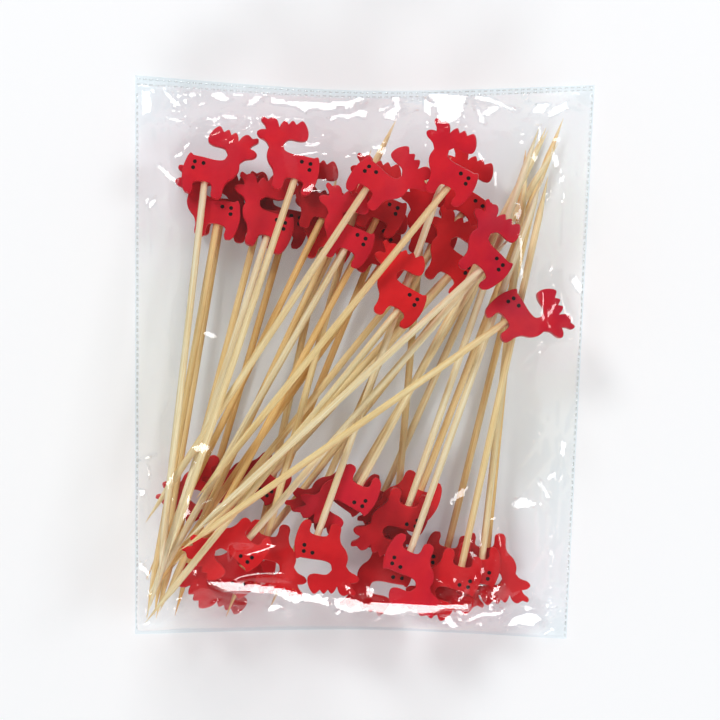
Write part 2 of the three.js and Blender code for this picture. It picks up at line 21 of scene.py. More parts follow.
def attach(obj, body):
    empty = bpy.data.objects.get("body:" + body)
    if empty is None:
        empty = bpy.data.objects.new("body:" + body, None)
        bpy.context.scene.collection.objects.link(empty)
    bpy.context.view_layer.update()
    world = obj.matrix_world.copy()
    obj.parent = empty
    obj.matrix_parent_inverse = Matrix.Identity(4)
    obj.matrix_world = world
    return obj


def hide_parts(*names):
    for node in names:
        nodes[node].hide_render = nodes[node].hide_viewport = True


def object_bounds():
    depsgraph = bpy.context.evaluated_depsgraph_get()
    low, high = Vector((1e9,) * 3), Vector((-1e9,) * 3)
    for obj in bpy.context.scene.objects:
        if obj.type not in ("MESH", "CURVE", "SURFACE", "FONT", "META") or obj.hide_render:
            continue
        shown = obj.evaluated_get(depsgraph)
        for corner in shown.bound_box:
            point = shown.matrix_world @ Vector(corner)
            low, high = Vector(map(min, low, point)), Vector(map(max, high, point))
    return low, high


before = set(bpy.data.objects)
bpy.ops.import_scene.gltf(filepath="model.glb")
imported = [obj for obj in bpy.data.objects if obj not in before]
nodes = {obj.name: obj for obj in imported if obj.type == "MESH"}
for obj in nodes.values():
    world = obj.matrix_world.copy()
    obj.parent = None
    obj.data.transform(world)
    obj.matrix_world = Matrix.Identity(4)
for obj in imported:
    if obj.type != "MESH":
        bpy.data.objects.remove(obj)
cad_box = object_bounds()
print(f"{len(nodes)} CAD nodes, from {cad_box[0][:]} to {cad_box[1][:]}")

# %% [markdown]
# ## Camera
#
# The photograph looks straight down on the bag from far away, with a long lens. A camera that is
# near would make the upper picks look larger than the lower ones, so this one stands well back,
# and its lens is chosen so that the picture is just as wide as the photograph at the middle
# height of the pile.

# %% Set up the camera
MM = 0.001
PICTURE_WIDTH = 187.2 * MM
PICTURE_CENTRE = Vector((-1.3 * MM, -0.8 * MM, 12 * MM))
CAMERA_DISTANCE = 2.4


def make_camera():
    data = bpy.data.cameras.new("long lens")
    data.lens = data.sensor_width * CAMERA_DISTANCE / PICTURE_WIDTH
    camera = bpy.data.objects.new("camera", data)
    camera.location = PICTURE_CENTRE + Vector((0, 0, CAMERA_DISTANCE))
    bpy.context.scene.collection.objects.link(camera)
    bpy.context.scene.camera = camera
    print(f"lens {data.lens:.0f} mm")


make_camera()

# %% [markdown]
# ## Lamps
#
# Clear film shows itself mostly by what it mirrors. Four soft lamps stand well to the sides, so
# that film that lies flat mirrors the plain sky overhead and stays clear, and only film that is
# tilted towards a lamp turns white. They are named here, because the film's facets are tilted
# to meet them, and they are lit at the end.

# %% Name the lamps
# Each lamp: its place, its width and height in metres, its power in watts and its colour.
LAMPS = {
    "main": ((-0.5, 0.75, 0.93), (0.32, 0.32), 4.5, (1.0, 0.99, 0.97)),
    "right": ((0.85, 0.15, 0.85), (0.26, 0.26), 2.4, (0.98, 0.99, 1.0)),
    "top strip": ((0.0, 1.1, 0.62), (0.5, 0.2), 3.8, (1.0, 1.0, 1.0)),
    "low strip": ((0.1, -1.1, 0.62), (0.55, 0.17), 5.4, (1.0, 1.0, 1.0)),
}


def mirror_slope(lamp, place=(0, 0)):
    """How a facet at a place rises, across and up the bag, if it mirrors a lamp to the camera."""
    facet = Vector((*place, 0))
    to_camera = PICTURE_CENTRE + Vector((0, 0, CAMERA_DISTANCE)) - facet
    half = (Vector(LAMPS[lamp][0]) - facet).normalized() + to_camera.normalized()
    return np.array((-half.x / half.z, -half.y / half.z))


LEVEL = np.array((0.0, 0.0))

for lamp in LAMPS:
    print(f"{lamp}: mirrored by film with a slope of {np.linalg.norm(mirror_slope(lamp)):.2f}")

# %% [markdown]
# ## Where each pick lies
#
# A pick is a straight skewer and a flat board, so its place can be read from its own CAD nodes.
# The skewer's tip is the corner that is farthest from the others, and the eight corners where
# its taper starts give its direction. The way the largest flat face looks gives the board's
# plane. The board's corners, laid flat in that plane, are then matched with the reindeer's
# outline, which tells which way the reindeer faces and how it sits on its skewer.

# %% Name the sizes that a pick is made from
STICK_REACH = 104 * MM
STICK_RADIUS = 0.91 * MM
TIP_TAPER = 11 * MM
SOCKET_DEPTH = 5 * MM
BOARD_HALF = 1.8 * MM
# A corner of the board's node lies on its upper face if it is no farther from it than this.
FACE_SLACK = 0.005 * MM

# The reindeer faces left, and its skewer enters the belly at the origin.
OUTLINE_MM = [
    # belly, front leg and chest
    (-2.0, -0.2), (-2.45, -1.2), (-2.5, -3.1), (-3.2, -3.8), (-4.6, -3.8),
    (-5.3, -3.0), (-5.5, -0.9), (-6.2, 0.8), (-7.9, 2.4), (-8.8, 4.2), (-8.8, 6.2),
    # muzzle and front antler
    (-10.0, 7.3), (-12.2, 8.0), (-12.9, 8.9), (-12.2, 9.8), (-10.8, 10.3), (-11.4, 11.2),
    (-12.8, 12.3), (-12.6, 13.2), (-11.2, 13.3), (-9.9, 13.8), (-8.7, 13.3), (-7.7, 11.8),
    # rear antler
    (-7.4, 13.0), (-6.7, 13.9), (-5.6, 13.5), (-4.8, 14.4), (-3.6, 14.0), (-2.4, 15.0),
    (-1.2, 14.3), (0.1, 12.2), (0.1, 10.7), (-1.2, 9.9), (-4.4, 9.4),
    # nape, back and tail
    (-5.4, 7.9), (-4.7, 6.5), (-2.9, 6.1), (0.5, 6.4), (3.3, 6.6), (4.2, 7.1), (4.9, 6.1),
    # rump and hind leg
    (5.6, 3.4), (5.6, 0.5), (5.0, -2.2), (4.2, -3.2), (2.9, -3.3), (2.4, -2.3),
    (2.45, -0.6), (1.65, 0.0),
]
outline = np.array(OUTLINE_MM) * MM


# %% Read the skewer and the board of each pick
def unique_points(node):
    """The corner points of a CAD node, each once."""
    points = np.array([vertex.co[:] for vertex in nodes[node].data.vertices])
    return np.unique(points.round(7), axis=0)


def board_normal(node):
    """The way that the board's flat face looks, upwards."""
    totals = {}
    for face in nodes[node].data.polygons:
        way = face.normal if face.normal.z > 0 else -face.normal
        key = tuple(round(value, 2) for value in way)
        totals[key] = totals.get(key, Vector()) + way * face.area
    return max(totals.values(), key=lambda total: total.length).normalized()


def skewer_line(points):
    """The skewer's tip, and the direction from it to the reindeer."""
    far = np.linalg.norm(points - points.mean(0), axis=1).argmax()
    away = np.linalg.norm(points - points[far], axis=1)
    ring = points[(away > 0) & (away < 2 * TIP_TAPER)]
    return Vector(points[far]), Vector(ring.mean(0) - points[far]).normalized()


def pick_frame(stick_node, board_node):
    """The matrix that carries a pick from its own axes to its place in the bag."""
    tip, along = skewer_line(unique_points(stick_node))
    up = board_normal(board_node)
    up = (up - along * up.dot(along)).normalized()
    turned = Matrix((along.cross(up), along, up)).transposed().to_4x4()
    return Matrix.Translation(tip + along * STICK_REACH) @ turned


def bearing(points):
    """The angle of the line from the middle of flat points to the farthest of them."""
    arms = points - points.mean(0)
    far = arms[np.linalg.norm(arms, axis=1).argmax()]
    return math.atan2(far[1], far[0])


def placed_points(points, side, turn, shift):
    """Flat points turned to one side, cocked and shifted as a reindeer is on its skewer."""
    turned = np.array(((math.cos(turn), -math.sin(turn)), (math.sin(turn), math.cos(turn))))
    return (points * (side, 1)) @ turned.T + shift


def board_fit(corners):
    """How the outline has to be turned and moved to meet a board's corners."""
    fits = []
    for side in (1, -1):
        turn = bearing(corners) - bearing(outline * (side, 1))
        middle = placed_points(outline, side, turn, 0).mean(0)
        shift = corners.mean(0) - middle
        placed = placed_points(outline, side, turn, shift)
        gaps = np.linalg.norm(placed[:, None] - corners[None], axis=2).min(1)
        fits.append((gaps.max(), side, turn, shift))
    return min(fits, key=lambda fit: fit[0])


def read_pick(end, number, stick_node, board_node):
    place = pick_frame(stick_node, board_node)
    local = np.array([(place.inverted() @ Vector(p))[:] for p in unique_points(board_node)])
    corners = local[np.abs(local[:, 2] - BOARD_HALF) < FACE_SLACK][:, :2]
    misfit, *fit = board_fit(corners)
    return {
        "name": f"{end}_{number}", "place": place, "fit": fit, "misfit": misfit,
        "stick_node": stick_node, "board_node": board_node,
    }


def read_picks():
    picks = []
    for node in sorted(nodes):
        end, part, number = (node.split("_") + ["", ""])[:3]
        if part == "pick":
            picks.append(read_pick(end, number, node, node))
        if part == "skewer":
            picks.append(read_pick(end, number, node, f"{end}_reindeer_{number}"))
    return picks


picks = read_picks()
worst_misfit = max(pick["misfit"] for pick in picks)
print(f"{len(picks)} picks read, worst misfit {worst_misfit / MM:.4f} mm")

# %% [markdown]
# ## Shared effect: the grain of wood
#
# Bamboo and painted board both show fine streaks along their grain. The streaks come from noise
# that is stretched along one axis, so one node group serves both materials. It reads a place in
# the pick's own axes, kept in the mesh as an attribute, so that the grain runs along each
# skewer whichever way it lies.

# %% Name the helpers that build node trees
FLOAT, VECTOR, SHAPE = "NodeSocketFloat", "NodeSocketVector", "NodeSocketGeometry"
KINDS = {float: FLOAT, bpy.types.Material: "NodeSocketMaterial"}


def new_group(name, tree_kind, outputs, **inputs):
    """An empty node group, its given values and its output node. An input is stated by its
    value, or by its kind where it has none."""
    group = bpy.data.node_groups.new(name, tree_kind)
    for label, value in inputs.items():
        kind = KINDS.get(type(value), value)
        socket = group.interface.new_socket(label, in_out="INPUT", socket_type=kind)
        if kind is not value:
            socket.default_value = value
    for label, kind in outputs.items():
        group.interface.new_socket(label, in_out="OUTPUT", socket_type=kind)
    given = group.nodes.new("NodeGroupInput").outputs
    print(f"node group: {name}")
    return group, given, group.nodes.new("NodeGroupOutput")


def fill(tree, made, **inputs):
    """Gives a node its inputs, by name or as i and a number. Each is a value, a socket to link,
    or another node, whose first output is linked."""
    for key, value in inputs.items():
        socket = made.inputs[int(key[1:]) if key[1:].isdigit() else key.replace("_", " ")]
        if isinstance(value, bpy.types.Node):
            value = value.outputs[0]
        if isinstance(value, bpy.types.NodeSocket):
            tree.links.new(value, socket)
        else:
            socket.default_value = value
    return made


def node(tree, kind, settings=None, **inputs):
    """A new node with its settings and its inputs."""
    made = tree.nodes.new(kind)
    for key, value in (settings or {}).items():
        setattr(made, key, value)
    return fill(tree, made, **inputs)


def math_node(tree, operation, first, second, clamp=False):
    settings = {"operation": operation, "use_clamp": clamp}
    return node(tree, "ShaderNodeMath", settings, i0=first, i1=second)


def mixed(tree, share, first, second, blend="MIX"):
    """A colour mix of two colours."""
    settings = {"data_type": "RGBA", "blend_type": blend}
    return node(tree, "ShaderNodeMix", settings, i0=share, i6=first, i7=second).outputs[2]


def ranged(tree, value, low, high, to_low, to_high):
    """A value carried from one pair of limits to another, and held between them."""
    return node(tree, "ShaderNodeMapRange", Value=value, i1=low, i2=high, i3=to_low, i4=to_high)


def noise(tree, place, scale, detail, roughness):
    return node(tree, "ShaderNodeTexNoise", Vector=place, Scale=scale, Detail=detail,
                Roughness=roughness)


def bumped(tree, height, strength, distance):
    """The surface's normal, turned by the slopes of a height."""
    return node(tree, "ShaderNodeBump", Strength=strength, Distance=distance, Height=height)


# %% Build the grain group
def grain_group():
    group, given, out = new_group(
        "wood grain", "ShaderNodeTree", {"Streak": FLOAT, "Patch": FLOAT},
        Place=VECTOR, Across=3000.0, Along=60.0, Blotch=90.0)
    scale = node(group, "ShaderNodeCombineXYZ", X=given["Across"], Y=given["Along"],
                 Z=given["Across"])
    stretched = node(group, "ShaderNodeVectorMath", {"operation": "MULTIPLY"},
                     i0=given["Place"], i1=scale)
    fill(group, out, Streak=noise(group, stretched, 1.0, 4.0, 0.6),
         Patch=noise(group, given["Place"], given["Blotch"], 2.0, 0.5))
    return group


wood_grain = grain_group()


def place_grain(tree, **sizes):
    """The grain's streaks and patches in a material, read in the piece's own axes."""
    place = node(tree, "ShaderNodeAttribute", {"attribute_name": "grain_place"})
    made = node(tree, "ShaderNodeGroup", {"node_tree": wood_grain},
                Place=place.outputs["Vector"], **sizes)
    return made.outputs["Streak"], made.outputs["Patch"]


def own_tint(tree):
    """The tint that is stored in the piece's mesh."""
    return node(tree, "ShaderNodeAttribute", {"attribute_name": "tint"}).outputs["Color"]


def new_material(name):
    material = bpy.data.materials.new(name)
    material.use_nodes = True
    print(f"material: {name}")
    return material, material.node_tree, material.node_tree.nodes["Principled BSDF"]


# %% [markdown]
# ## Bamboo
#
# Split bamboo is pale, from cream to a warm tan, and each skewer comes out of another part of
# the cane, so every skewer has a tint of its own. Fine brown fibres run along it. The finish is
# dry and dull, with a trace of gloss where the machine has rubbed the fibres smooth.

# %% Make the bamboo material
FIBRE_SHADE = (0.88, 0.76, 0.58, 1)
OLD_PATCH = (0.93, 0.84, 0.68, 1)


def bamboo_material():
    material, tree, surface = new_material("split bamboo")
    streak, patch = place_grain(tree, Across=2600.0, Along=55.0, Blotch=70.0)
    tint = own_tint(tree)
    shaded = mixed(tree, 1.0, tint, FIBRE_SHADE, "MULTIPLY")
    streaked = mixed(tree, ranged(tree, streak, 0.36, 0.62, 0.0, 1.0), shaded, tint)
    patched = ranged(tree, patch, 0.35, 0.7, 0.0, 0.3)
    fill(tree, surface,
         Base_Color=mixed(tree, patched, streaked, OLD_PATCH, "MULTIPLY"),
         Roughness=ranged(tree, streak, 0.3, 0.7, 0.62, 0.46),
         Normal=bumped(tree, streak, 0.25, 0.08 * MM),
         Specular_IOR_Level=0.35)
    return material


bamboo = bamboo_material()

# %% [markdown]
# ## Red paint on board
#
# The reindeer are die-cut from thin plywood and dipped in red paint. The paint is satin, thick
# enough to round the edges, and thin enough for the wood to show as faint streaks. Three small
# holes are burnt into each rump.

# %% Make the paint and the burnt wood
WORN_STREAK = (0.78, 0.6, 0.62, 1)
BRIGHT_PATCH = (0.95, 0.03, 0.035, 1)
CHAR = (0.004, 0.002, 0.002, 1)
SINGED_RED = (0.03, 0.006, 0.005, 1)


def paint_material():
    material, tree, surface = new_material("red paint")
    streak, patch = place_grain(tree, Across=420.0, Along=90.0, Blotch=160.0)
    worn = ranged(tree, streak, 0.35, 0.65, 0.0, 0.3)
    streaked = mixed(tree, worn, own_tint(tree), WORN_STREAK, "MULTIPLY")
    bright = ranged(tree, patch, 0.4, 0.65, 0.0, 0.3)
    fill(tree, surface,
         Base_Color=mixed(tree, bright, streaked, BRIGHT_PATCH),
         Roughness=ranged(tree, patch, 0.3, 0.7, 0.5, 0.36),
         Normal=bumped(tree, streak, 0.2, 0.1 * MM),
         Specular_IOR_Level=0.25)
    return material


def burnt_material():
    material, tree, surface = new_material("burnt wood")
    patch = place_grain(tree, Across=900.0, Along=900.0, Blotch=900.0)[1]
    fill(tree, surface, Base_Color=mixed(tree, patch, CHAR, SINGED_RED), Roughness=0.85)
    return material


paint = paint_material()
burnt = burnt_material()

# %% [markdown]
# ## Skewers
#
# Every skewer is the same turned stick: a round bar, ground to a point over its last eleven
# millimetres. That is a rule, so Geometry Nodes make it. A line is resampled, given a radius
# that falls to almost nothing at the tip, swept with a circle, and then made slightly crooked by
# noise with a seed, because no split bamboo is quite straight or round.

# %% Build the skewer tree
RING_COUNT = 72
SIDES = 18
WANDER = 0.16 * MM
# The point's radius, as a share of the stick's
POINT_SHARE = 0.03


def coated(tree, shape, material, out):
    """Ends a tree: its instances are made real, and the shape gets its material."""
    real = node(tree, "GeometryNodeRealizeInstances", Geometry=shape)
    fill(tree, out, Geometry=node(tree, "GeometryNodeSetMaterial", Geometry=real,
                                  Material=material))
    return tree


def skewer_tree():
    tree, given, out = new_group(
        "turned skewer", "GeometryNodeTree", {"Geometry": SHAPE},
        Reach=STICK_REACH, Socket=SOCKET_DEPTH, Radius=STICK_RADIUS, Taper=TIP_TAPER,
        Wander=WANDER, Seed=0.0, Material=bamboo)
    low = math_node(tree, "MULTIPLY", given["Reach"], -1.0)
    start = node(tree, "ShaderNodeCombineXYZ", Y=low)
    end = node(tree, "ShaderNodeCombineXYZ", Y=given["Socket"])
    line = node(tree, "GeometryNodeCurvePrimitiveLine", Start=start, End=end)
    rings = node(tree, "GeometryNodeResampleCurve", Curve=line, Count=RING_COUNT)
    reached = tree.nodes.new("GeometryNodeSplineParameter").outputs["Length"]
    share = ranged(tree, reached, 0.0, given["Taper"], POINT_SHARE, 1.0)
    radius = math_node(tree, "MULTIPLY", share, given["Radius"])
    circle = node(tree, "GeometryNodeCurvePrimitiveCircle", Resolution=SIDES, Radius=1.0)
    swept = node(tree, "GeometryNodeCurveToMesh", Curve=rings, Profile_Curve=circle,
                 Scale=radius, Fill_Caps=True)
    position = node(tree, "GeometryNodeInputPosition")
    wobble = node(tree, "ShaderNodeTexNoise", {"noise_dimensions": "4D"}, Vector=position,
                  W=given["Seed"], Scale=28.0, Detail=3.0, Roughness=0.55)
    centred = node(tree, "ShaderNodeVectorMath", {"operation": "SUBTRACT"},
                   i0=wobble.outputs["Color"], i1=(0.5, 0.5, 0.5))
    offset = node(tree, "ShaderNodeVectorMath", {"operation": "SCALE"},
                  i0=centred, Scale=given["Wander"])
    moved = node(tree, "GeometryNodeSetPosition", Geometry=swept, Offset=offset)
    return coated(tree, moved, given["Material"], out)


def made_by(tree, name, base=None, **values):
    """The plain mesh that a geometry tree makes, with its inputs set by name."""
    source = bpy.data.objects.new(f"{name} source", base or bpy.data.meshes.new(name))
    bpy.context.scene.collection.objects.link(source)
    modifier = source.modifiers.new("shape", "NODES")
    modifier.node_group = tree
    for item in tree.interface.items_tree:
        if item.in_out == "INPUT" and item.name in values:
            modifier[item.identifier] = values[item.name]
    graph = bpy.context.evaluated_depsgraph_get()
    mesh = bpy.data.meshes.new_from_object(source.evaluated_get(graph))
    bpy.data.objects.remove(source)
    return mesh


# %% [markdown]
# Each skewer's tint is picked from the photograph, between cream and a tan that is
# almost orange. A skewer that isn't named here takes one of the tints by its number.

# %% Tint, place and name the skewers
TINTS = {
    "cream": (1.0, 0.94, 0.70, 1),
    "pale straw": (1.0, 0.90, 0.60, 1),
    "straw": (1.0, 0.86, 0.51, 1),
    "tan": (1.0, 0.80, 0.43, 1),
    "orange tan": (0.99, 0.71, 0.32, 1),
}
SKEWER_TINTS = {
    "cream": ("top_13", "top_14", "top_16", "top_20",
              "bottom_15", "bottom_16", "bottom_17", "bottom_18"),
    "pale straw": ("top_15", "top_17", "top_18", "bottom_12", "bottom_14"),
    "straw": ("top_12", "top_19", "top_21", "bottom_04", "bottom_10", "bottom_13"),
    "tan": ("top_04", "top_05", "top_08", "top_11", "bottom_06"),
    "orange tan": ("top_01", "top_09", "bottom_08"),
}
SPARE_TINTS = ("straw", "tan", "pale straw", "orange tan")
STICK_CRISP = math.radians(40)
# How far on in the grain each skewer is read than the one before, so that no two are alike
STICK_GRAIN_STEP = (0.1, 0.3, 0)


def named_colour(lists, spare, pick, number):
    """The colour whose list names a pick, or else one of the spare ones by its number."""
    for colour, names in lists.items():
        if pick["name"] in names:
            return colour
    return spare[number % len(spare)]


def add_object(name, mesh):
    piece = bpy.data.objects.new(name, mesh)
    bpy.context.scene.collection.objects.link(piece)
    return piece


def store_grain(mesh, tint, step, number):
    """Keeps each point's place in the pick's own axes, moved on by the pick's number of steps,
    and the piece's tint, in the mesh."""
    place = mesh.attributes.new("grain_place", "FLOAT_VECTOR", "POINT")
    points = np.zeros(len(mesh.vertices) * 3, np.float32)
    mesh.vertices.foreach_get("co", points)
    shifted = points.reshape(-1, 3) + np.array([number * size for size in step], np.float32)
    place.data.foreach_set("vector", shifted.ravel())
    colour = mesh.attributes.new("tint", "FLOAT_COLOR", "POINT")
    colour.data.foreach_set("color", list(tint) * len(mesh.vertices))


def shade(mesh, angle):
    """Smooth shading, with edges sharper than angle left crisp."""
    mesh.shade_smooth()
    mesh.set_sharp_from_angle(angle=angle)


def finish_piece(piece, slot, *replaced):
    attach(piece, "root")
    if replaced:
        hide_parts(*replaced)


def dress_skewer(pick, number, tree):
    name = f"skewer_{pick['name']}"
    tint = named_colour(SKEWER_TINTS, SPARE_TINTS, pick, number)
    mesh = made_by(tree, name, Seed=float(number))
    store_grain(mesh, TINTS[tint], STICK_GRAIN_STEP, number)
    shade(mesh, STICK_CRISP)
    mesh.transform(pick["place"])
    finish_piece(add_object(name, mesh), "bamboo", pick["stick_node"])


turned_skewer = skewer_tree()
for number, pick in enumerate(picks):
    dress_skewer(pick, number, turned_skewer)
print(f"{len(picks)} skewers made")

# %% [markdown]
# ## Reindeer
#
# The outline is a list of corners. A smooth curve is drawn through them, apart from the
# notches between the scallops of the antlers and the corners of the feet, which the cutter left
# sharp. The board gets walls along the curve, with an edge rounded by the paint, and the two
# flat faces are filled. The three burnt holes are real pits, left open when the upper face is
# filled.

# %% Draw the smooth outline
CURVE_STEPS = 4
EDGE_ROUND = 0.22 * MM
EDGE_DEGREES = (0, 30, 60, 90)
PIT_RADIUS = 0.54 * MM
PIT_FLOOR_RADIUS = 0.75 * PIT_RADIUS
PIT_DEPTH = 0.35 * MM
PIT_SIDES = 12
PITS_MM = [(0.5, 4.8), (2.8, 4.9), (3.0, 3.3)]
# Where the outline is drawn sharp, by the number of the corner in its list: below and between
# the antlers, between their scallops, at the nape, the tail and the feet.
SHARP_CORNERS = (10, 15, 19, 22, 25, 27, 34, 38, 40, 44, 46)
NOTCH_DEPTHS_MM = {19: 0.35, 25: 0.35, 27: 0.35}


def deeper_notches(points):
    """The outline with the notches between the scallops cut a little deeper."""
    cut = points.copy()
    for number, depth in NOTCH_DEPTHS_MM.items():
        cut[number, 1] -= depth * MM
    return cut


def curve_point(a, b, c, d, share):
    """A point between b and c on the smooth curve through four points."""
    times = [0.0]
    for first, second in ((a, b), (b, c), (c, d)):
        times.append(times[-1] + np.linalg.norm(second - first) ** 0.5)
    t = times[1] + (times[2] - times[1]) * share

    def between(first, second, low, high):
        return first + (second - first) * ((t - times[low]) / (times[high] - times[low]))

    ab, bc, cd = between(a, b, 0, 1), between(b, c, 1, 2), between(c, d, 2, 3)
    return between(between(ab, bc, 0, 2), between(bc, cd, 1, 3), 1, 2)


def smooth_loop(points):
    """A smooth closed curve through the points, which comes straight into the sharp ones."""
    count = len(points)
    loop = []
    for i in range(count):
        before, start, end, after = (points[(i + k) % count] for k in (-1, 0, 1, 2))
        if i in SHARP_CORNERS:
            before = 2 * start - end
        if (i + 1) % count in SHARP_CORNERS:
            after = 2 * end - start
        loop += [curve_point(before, start, end, after, step / CURVE_STEPS)
                 for step in range(CURVE_STEPS)]
    return np.array(loop)


def inset_loop(loop, distance):
    """The loop moved inwards by a distance, for a loop that runs either way round."""
    forward = np.roll(loop, -1, 0) - np.roll(loop, 1, 0)
    area = np.sum(loop[:, 0] * np.roll(loop[:, 1], -1) - np.roll(loop[:, 0], -1) * loop[:, 1])
    inward = np.stack((-forward[:, 1], forward[:, 0]), 1) * math.copysign(1, area)
    inward /= np.linalg.norm(inward, axis=1)[:, None]
    return loop + inward * distance


# %% Build one reindeer board
def ring(shape, loop, height):
    return [shape.verts.new((x, y, height)) for x, y in loop]


def bridge(shape, lower, upper, material_index=0):
    count = len(lower)
    for i in range(count):
        j = (i + 1) % count
        face = shape.faces.new((lower[i], lower[j], upper[j], upper[i]))
        face.material_index = material_index


def ring_edges(shape, corners):
    pairs = zip(corners, corners[1:] + corners[:1])
    return [shape.edges.get(pair) or shape.edges.new(pair) for pair in pairs]


def pit_loop(centre, radius):
    angles = [2 * math.pi * k / PIT_SIDES for k in range(PIT_SIDES)]
    return np.array([centre + radius * np.array((math.cos(a), math.sin(a))) for a in angles])


def board_mesh(name, loop, pits):
    """A board with rounded edges over a closed loop, and open pits in its upper face."""
    shape = bmesh.new()
    angles = [math.radians(degrees) for degrees in EDGE_DEGREES]
    profile = [(1 - math.sin(a), math.cos(a)) for a in angles]
    low = [(inset, -1, share) for inset, share in profile]
    high = [(inset, 1, share) for inset, share in reversed(profile)]
    rings = []
    for inset, side, share in low + high:
        height = side * (BOARD_HALF - EDGE_ROUND + EDGE_ROUND * share)
        rings.append(ring(shape, inset_loop(loop, inset * EDGE_ROUND), height))
    for lower, upper in zip(rings, rings[1:]):
        bridge(shape, lower, upper)
    top_edges = ring_edges(shape, rings[-1])
    for centre in pits:
        rim = ring(shape, pit_loop(centre, PIT_RADIUS), BOARD_HALF)
        floor = ring(shape, pit_loop(centre, PIT_FLOOR_RADIUS), BOARD_HALF - PIT_DEPTH)
        bridge(shape, rim, floor, 1)
        shape.faces.new(floor).material_index = 1
        top_edges += ring_edges(shape, rim)
    bmesh.ops.triangle_fill(shape, use_beauty=True, edges=top_edges)
    bmesh.ops.triangle_fill(shape, use_beauty=True, edges=ring_edges(shape, rings[0]))
    bmesh.ops.recalc_face_normals(shape, faces=shape.faces)
    mesh = bpy.data.meshes.new(name)
    shape.to_mesh(mesh)
    shape.free()
    return mesh


# %% [markdown]
# The reds differ too: the paint is brighter on some boards and deeper on others, and the photo
# shows the boards at the right in a cooler red.

# %% Paint and place the reindeer
REDS = {
    "bright": (0.76, 0.008, 0.013, 1),
    "red": (0.66, 0.005, 0.013, 1),
    "crimson": (0.68, 0.006, 0.028, 1),
    "deep": (0.50, 0.003, 0.012, 1),
    "cool": (0.57, 0.002, 0.028, 1),
}
REINDEER_REDS = {
    "bright": ("top_12", "top_18"),
    "crimson": ("top_11", "top_13", "top_14", "top_15", "top_16", "top_17", "top_19",
                "bottom_14", "bottom_16"),
    "cool": ("top_20", "top_21"),
}
SPARE_REDS = ("red", "bright", "deep", "red")
BOARD_CRISP = math.radians(35)
BOARD_GRAIN_STEP = (0.2, 0.1, 0)


def dress_reindeer(pick, number):
    name = f"reindeer_{pick['name']}"
    loop = placed_points(smooth_loop(deeper_notches(outline)), *pick["fit"])
    mesh = board_mesh(name, loop, placed_points(np.array(PITS_MM) * MM, *pick["fit"]))
    red = named_colour(REINDEER_REDS, SPARE_REDS, pick, number)
    store_grain(mesh, REDS[red], BOARD_GRAIN_STEP, number)
    mesh.materials.append(paint)
    mesh.materials.append(burnt)
    shade(mesh, BOARD_CRISP)
    mesh.transform(pick["place"])
    finish_piece(add_object(name, mesh), "red_board", pick["board_node"])


for number, pick in enumerate(picks):
    dress_reindeer(pick, number)
print(f"{len(picks)} reindeer made")

# %% [markdown]
# ## The bag's outline
#
# The bag's edges are read from the CAD seams: four corners, and the middles of the three edges
# that bow. A point of the bag is then given by two shares, across and up, between its edges.

# %% Read the bag's edges
# A corner this near to halfway along an edge counts as the edge's middle.
MIDDLE_REACH = 3 * MM


def extreme(points, way):
    return points[(points @ np.array(way)).argmax()]


seam_points = unique_points("side_and_bottom_seam")[:, :2]
top_points = unique_points("top_seal")[:, :2]
bottom_left, bottom_right, top_left, top_right = (
    extreme(seam_points, way) for way in ((-1, -1), (1, -1), (-1, 1), (1, 1)))


def middle_of(points, way, first, second):
    """The outermost point near the line halfway between two corners."""
    along = (second - first) / np.linalg.norm(second - first)
    halfway = ((first + second) / 2) @ along
    near = points[np.abs(points @ along - halfway) < MIDDLE_REACH]
    return extreme(near, way)


right_middle = middle_of(seam_points, (1, 0), bottom_right, top_right)
bottom_middle = middle_of(seam_points, (0, -1), bottom_left, bottom_right)
top_middle = middle_of(top_points, (0, 1), top_left, top_right)


def through_three(a, b, c, shares):
    """Points on the smooth line through three points, at shares along it."""
    shares = np.asarray(shares)[:, None]
    first = shares < 0.5
    t = np.where(first, 2 * shares, 2 * shares - 1)
    start, end = np.where(first, a, b), np.where(first, b, c)
    leaving, arriving = (end - a) / 2, (c - start) / 2
    cubic = (2 * start - 2 * end + leaving + arriving) * t ** 3
    square = (-3 * start + 3 * end - 2 * leaving - arriving) * t ** 2
    return cubic + square + leaving * t + start


def bag_points(across, up):
    """Places on the bag in plan, as rows going up and columns going across."""
    u, v = np.asarray(across), np.asarray(up)
    left = bottom_left + (top_left - bottom_left) * v[:, None]
    right = through_three(bottom_right, right_middle, top_right, v)
    low = through_three(bottom_left, bottom_middle, bottom_right, u)
    high = through_three(top_left, top_middle, top_right, u)
    uu, vv = u[None, :, None], v[:, None, None]
    ruled = left[:, None] * (1 - uu) + right[:, None] * uu + low[None] * (1 - vv) + high[None] * vv
    near = bottom_left * (1 - uu) + bottom_right * uu
    far = top_left * (1 - uu) + top_right * uu
    return ruled - near * (1 - vv) - far * vv


bag_width = np.linalg.norm(top_right - top_left)
bag_height = np.linalg.norm(top_left - bottom_left)
print(f"bag {bag_width / MM:.1f} by {bag_height / MM:.1f} mm")

# %% [markdown]
# ## The film over the pile
#
# The film touches the highest picks and spans the hollows between them like a tent. The CAD
# film already does this in coarse facets, so it is a good start: its height is read on a fine
# grid, and the sheet relaxes for a few rounds, in which each point moves to the mean of its
# neighbours unless the pile holds it up. A cloth simulation would give soft drapes, and thin
# plastic doesn't drape. It creases, so straight sharp creases are laid over the sheet next.

# %% Relax the film over the pile
FILM_PITCH = 0.47 * MM
FILM_CLEARANCE = 0.35 * MM
EDGE_HEIGHT = 0.4 * MM
RELAX_ROUNDS = 14
# How many steps of the grid the film stays up past the edge of what holds it
HELD_STEPS = 2
# Where the film bends by more than this, its shading shows a sharp fold.
FOLD_ANGLE = math.radians(16)
# How many rows of the grid lie flat, welded to the back film, along each edge
SIDE_WELD, TOP_WELD, BOTTOM_WELD = 4, 6, 3
